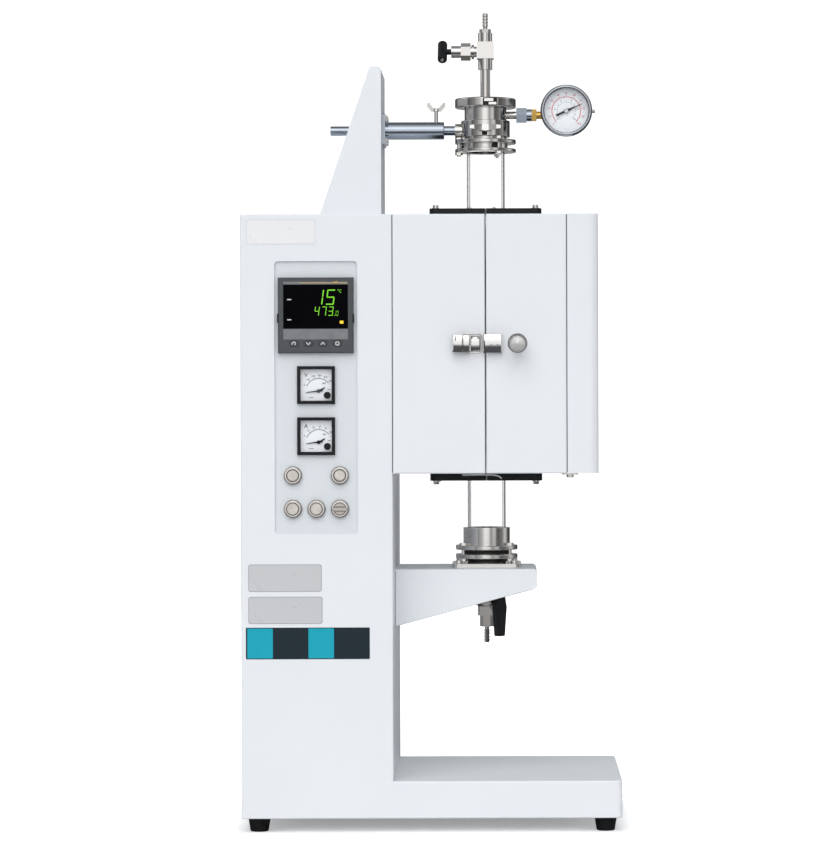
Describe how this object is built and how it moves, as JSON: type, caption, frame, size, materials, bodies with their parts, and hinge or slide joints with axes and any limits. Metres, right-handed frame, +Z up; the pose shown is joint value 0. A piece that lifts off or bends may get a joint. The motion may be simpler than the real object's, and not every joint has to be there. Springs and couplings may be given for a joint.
{
  "type": "tube furnace",
  "caption": "Vertical split-hinge tube furnace with quartz work tube, gas valves, vacuum gauge and control column.",
  "frame": {"origin": "centre of the bounding box's footprint, on the floor under the rubber feet", "axes": "+Z up, -Y towards the operator (panel, latch and gauge face -Y), +X to the operator's right"},
  "size_m": [0.484, 0.344, 1.057],
  "materials": {
    "white_paint": "satin powder coat",
    "black_paint": "satin black",
    "stainless": "brushed stainless steel",
    "bright_steel": "polished",
    "aluminium": "extruded",
    "brass": "machined",
    "black_rubber": "moulded",
    "black_plastic": "moulded",
    "grey_plastic": "fine texture",
    "key_plastic": "fine texture",
    "dark_window": "gloss",
    "clear_window": "clear",
    "quartz": "clear fused quartz",
    "dial_white": "printed plate",
    "pointer": "matt",
    "lens": "frosted",
    "fibre": "vacuum-formed fibre",
    "coil": "oxidised"
  },
  "bodies": {
    "root": {"cabinet_shell": "white_paint", "bottom_plate": "white_paint", "rear_cover": "white_paint", "control_panel": "white_paint", "chamber_shell": "white_paint", "shelf_bracket": "white_paint", "upper_bracket": "white_paint", "fixed_end_covers": "black_paint", "rubber_feet": "black_rubber", "power_inlet": "black_plastic", "power_regulator": "aluminium", "controller_housing": "grey_plastic", "controller_window": "dark_window", "meter_cases": "black_plastic", "instrument_dials": "dial_white", "instrument_windows": "clear_window", "button_bodies": "bright_steel", "lamp_lenses": "lens", "fixed_insulation": "fibre", "fixed_heater": "coil", "thermocouple": "stainless", "hinge_fixed_leaves": "stainless", "latch_base": "bright_steel", "arm_sleeve": "stainless", "arm_rod": "stainless", "support_ring": "stainless", "quartz_tube": "quartz", "head_body": "stainless", "seal_discs": "stainless", "head_cap": "stainless", "needle_valve_body": "stainless", "hose_barbs": "stainless", "gauge_stem": "brass", "gauge_case": "stainless", "lower_flange": "stainless", "outlet_valve_body": "stainless"},
    "door": {"door_shell": "white_paint", "door_insulation": "fibre", "door_heater": "coil", "door_end_covers": "black_paint", "door_side_cover": "white_paint", "hinge_door_leaves": "stainless", "door_knob": "stainless", "latch_keeper": "bright_steel"},
    "latch_lever": {"latch_lever": "bright_steel"},
    "latch_bail": {"latch_bail": "bright_steel"},
    "key_return": {"key_return": "key_plastic"},
    "key_down": {"key_down": "key_plastic"},
    "key_up": {"key_up": "key_plastic"},
    "key_menu": {"key_menu": "key_plastic"},
    "turn_off_cap": {"turn_off_cap": "lens"},
    "turn_on_cap": {"turn_on_cap": "lens"},
    "selector_knob": {"selector_knob": "lens"},
    "voltmeter_needle": {"voltmeter_needle": "pointer"},
    "ammeter_needle": {"ammeter_needle": "pointer"},
    "gauge_needle": {"gauge_needle": "pointer"},
    "needle_valve_handle": {"needle_valve_handle": "black_plastic"},
    "outlet_lever": {"outlet_lever": "black_plastic"},
    "arm_wing_screw": {"arm_wing_screw": "bright_steel"},
    "ring_wing_screw": {"ring_wing_screw": "bright_steel"}
  },
  "joints": [
    {"name": "door_hinge", "type": "hinge", "parent": "root", "child": "door", "pos_m": [0.0695, 0.1534, 0.621], "axis": [0, 0, 1], "range_deg": [0, 110]},
    {"name": "latch_lever_pivot", "type": "hinge", "parent": "root", "child": "latch_lever", "pos_m": [0.0465, -0.149, 0.621], "axis": [0, 0, 1], "range_deg": [0, 100]},
    {"name": "latch_bail_pivot", "type": "hinge", "parent": "latch_lever", "child": "latch_bail", "pos_m": [0.0418, -0.149, 0.621], "axis": [0, 0, 1], "range_deg": [-150, 0]},
    {"name": "key_return_press", "type": "slide", "parent": "root", "child": "key_return", "axis": [0, 1, 0], "range_m": [0, 0.0008], "stiffness_N_per_m": 300},
    {"name": "key_down_press", "type": "slide", "parent": "root", "child": "key_down", "axis": [0, 1, 0], "range_m": [0, 0.0008], "stiffness_N_per_m": 300},
    {"name": "key_up_press", "type": "slide", "parent": "root", "child": "key_up", "axis": [0, 1, 0], "range_m": [0, 0.0008], "stiffness_N_per_m": 300},
    {"name": "key_menu_press", "type": "slide", "parent": "root", "child": "key_menu", "axis": [0, 1, 0], "range_m": [0, 0.0008], "stiffness_N_per_m": 300},
    {"name": "turn_off_press", "type": "slide", "parent": "root", "child": "turn_off_cap", "axis": [0, 1, 0], "range_m": [0, 0.003], "stiffness_N_per_m": 400},
    {"name": "turn_on_press", "type": "slide", "parent": "root", "child": "turn_on_cap", "axis": [0, 1, 0], "range_m": [0, 0.003], "stiffness_N_per_m": 400},
    {"name": "selector_turn", "type": "hinge", "parent": "root", "child": "selector_knob", "pos_m": [-0.11615, -0.1445, 0.4116], "axis": [0, 1, 0], "range_deg": [0, 90]},
    {"name": "voltmeter_needle_turn", "type": "hinge", "parent": "root", "child": "voltmeter_needle", "pos_m": [-0.143, -0.138, 0.5614], "axis": [0, 1, 0], "range_deg": [0, 144], "stiffness_Nm_per_rad": 0.0001},
    {"name": "ammeter_needle_turn", "type": "hinge", "parent": "root", "child": "ammeter_needle", "pos_m": [-0.143, -0.138, 0.4964], "axis": [0, 1, 0], "range_deg": [0, 144], "stiffness_Nm_per_rad": 0.0001},
    {"name": "gauge_needle_turn", "type": "hinge", "parent": "root", "child": "gauge_needle", "pos_m": [0.1756, -0.003, 0.928], "axis": [0, 1, 0], "range_deg": [-200, 70], "stiffness_Nm_per_rad": 0.0002},
    {"name": "needle_valve_turn", "type": "hinge", "parent": "root", "child": "needle_valve_handle", "pos_m": [0.0195, 0.003, 1.0065], "axis": [-1, 0, 0], "range_deg": [0, 1080]},
    {"name": "outlet_lever_turn", "type": "hinge", "parent": "root", "child": "outlet_lever", "pos_m": [0.0695, 0.003, 0.278], "axis": [0.7071, -0.7071, 0], "range_deg": [0, 90]},
    {"name": "arm_screw_turn", "type": "hinge", "parent": "root", "child": "arm_wing_screw", "pos_m": [0.0048, 0.003, 0.914], "axis": [0, 0, 1], "range_deg": [0, 720]},
    {"name": "ring_screw_turn", "type": "hinge", "parent": "root", "child": "ring_wing_screw", "pos_m": [0.0695, -0.037, 0.904], "axis": [0, -1, 0], "range_deg": [0, 720]}
  ],
  "couplings": [
    {"joint": "latch_bail_pivot", "follows": "latch_lever_pivot", "ratio": -1.5}
  ]
}
